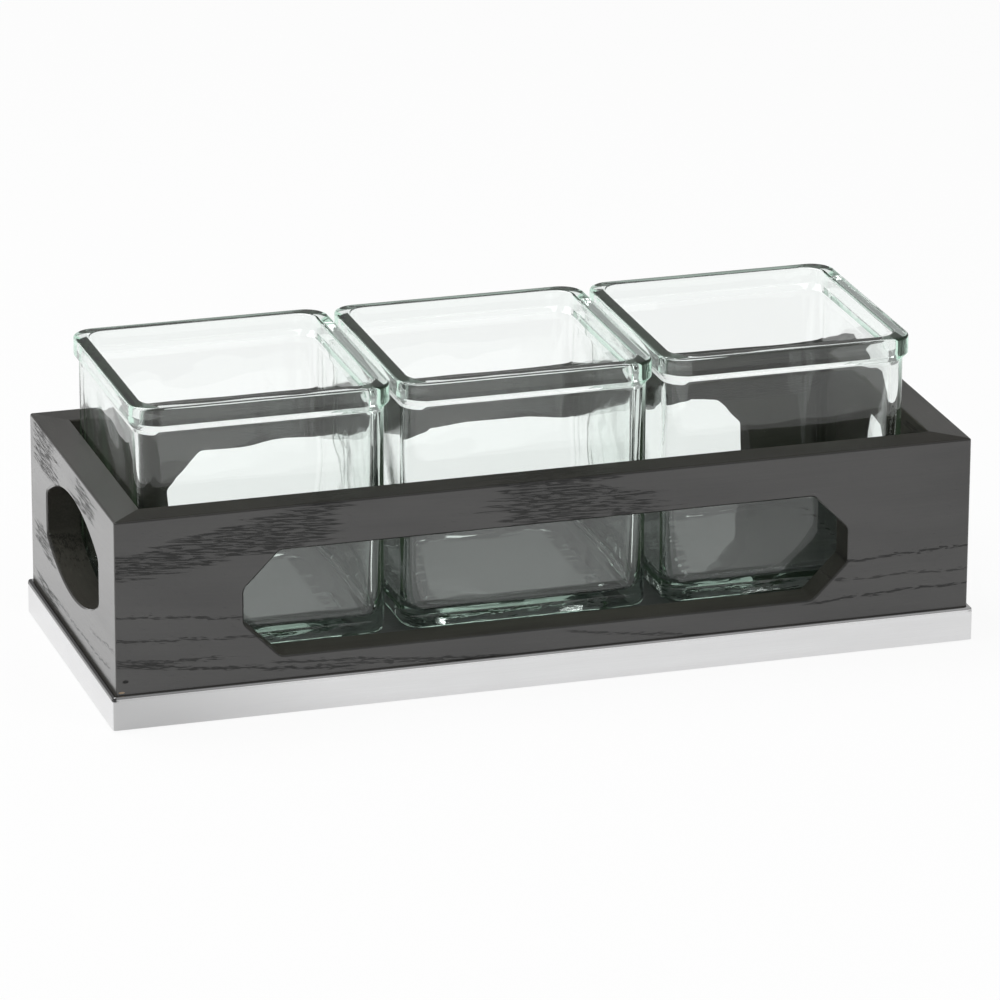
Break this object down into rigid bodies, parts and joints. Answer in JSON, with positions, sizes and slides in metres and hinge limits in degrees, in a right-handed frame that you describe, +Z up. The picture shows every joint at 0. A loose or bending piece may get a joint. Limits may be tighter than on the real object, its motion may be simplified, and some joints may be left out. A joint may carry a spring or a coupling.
{
  "type": "condiment jar caddy",
  "caption": "Low mitred wooden box on a polished steel pan, with slotted sides and end handle holes, holding a row of open square glass jars.",
  "frame": {"origin": "on the table, under the middle of the steel pan", "axes": "+X along the long side to the right as seen from the front, +Y to the back, +Z up"},
  "size_m": [0.372, 0.1474, 0.1307],
  "materials": {
    "stained_oak": "satin black-grey stain on open-grained wood",
    "floor_wood": "dark stained flat board",
    "spline_wood": "bare birch, glued in",
    "polished_steel": "bright polished stainless",
    "screw_steel": "zinc plated",
    "black_rubber": "matte",
    "clear_glass": "clear, faintly green where thick"
  },
  "bodies": {
    "caddy": {"front_panel": "stained_oak", "back_panel": "stained_oak", "left_end_panel": "stained_oak", "right_end_panel": "stained_oak", "floor_board": "floor_wood", "spline_front_left": "spline_wood", "spline_front_right": "spline_wood", "spline_back_left": "spline_wood", "spline_back_right": "spline_wood", "base_pan": "polished_steel", "panel_screws": "screw_steel", "foot_washers": "screw_steel", "foot_screws": "screw_steel", "foot_front_left": "black_rubber", "foot_front_right": "black_rubber", "foot_back_left": "black_rubber", "foot_back_right": "black_rubber"},
    "left_jar": {"jar_left": "clear_glass"},
    "middle_jar": {"jar_middle": "clear_glass"},
    "right_jar": {"jar_right": "clear_glass"}
  },
  "joints": [
    {"name": "jar_left_lift", "type": "slide", "parent": "caddy", "child": "left_jar", "axis": [0, 0, 1], "range_m": [0, 0.12]},
    {"name": "jar_middle_lift", "type": "slide", "parent": "caddy", "child": "middle_jar", "axis": [0, 0, 1], "range_m": [0, 0.12]},
    {"name": "jar_right_lift", "type": "slide", "parent": "caddy", "child": "right_jar", "axis": [0, 0, 1], "range_m": [0, 0.12]}
  ]
}
